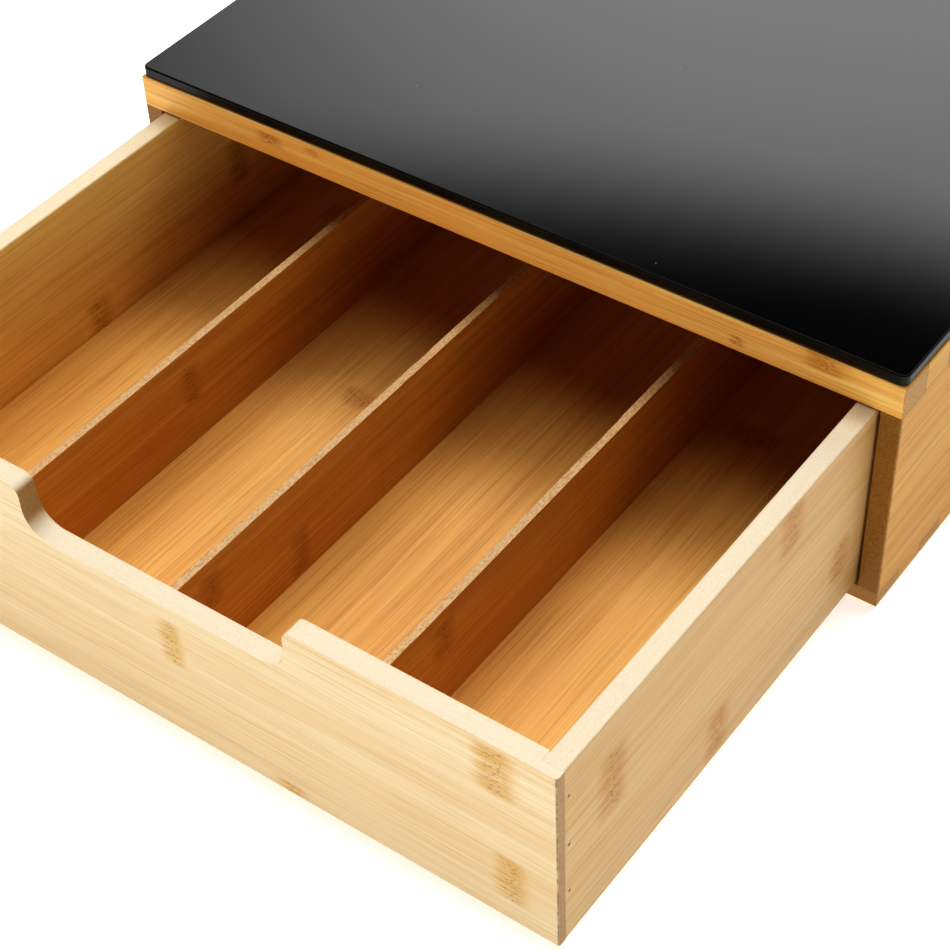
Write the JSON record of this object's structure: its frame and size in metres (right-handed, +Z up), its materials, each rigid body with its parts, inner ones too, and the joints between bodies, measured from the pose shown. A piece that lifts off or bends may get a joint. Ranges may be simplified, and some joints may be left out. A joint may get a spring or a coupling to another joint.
{
  "type": "tea bag drawer box",
  "caption": "Low bamboo box with a flat glass top and a full-width pull-out drawer, divided lengthwise into bays for tea bags, opened by a finger notch.",
  "frame": {"origin": "centre of the cabinet's footprint, on the surface that it stands on", "axes": "+Z up; -Y towards the front, where the drawer comes out; +X to the right of someone facing the front"},
  "size_m": [0.33, 0.48, 0.1084],
  "materials": {
    "golden_bamboo": "satin clear lacquer",
    "pale_bamboo": "sanded, thin clear lacquer",
    "bamboo_ply": "sanded, thin clear lacquer",
    "black_glass": "polished, painted black underneath",
    "adhesive": "matt",
    "brad_steel": "plain"
  },
  "bodies": {
    "cabinet": {"top_board": "golden_bamboo", "bottom_board": "golden_bamboo", "left_side_panel": "golden_bamboo", "right_side_panel": "golden_bamboo", "back_panel": "golden_bamboo", "glass_adhesive_pads": "adhesive", "glass_top": "black_glass"},
    "drawer": {"drawer_front": "pale_bamboo", "drawer_front_brads": "brad_steel", "drawer_back": "pale_bamboo", "drawer_back_brads": "brad_steel", "drawer_left_side": "pale_bamboo", "drawer_right_side": "pale_bamboo", "drawer_floor": "bamboo_ply", "left_divider": "bamboo_ply", "middle_divider": "bamboo_ply", "right_divider": "bamboo_ply"}
  },
  "joints": [
    {"name": "drawer_slide", "type": "slide", "parent": "cabinet", "child": "drawer", "axis": [0, -1, 0], "range_m": [-0.185, 0.045]}
  ]
}
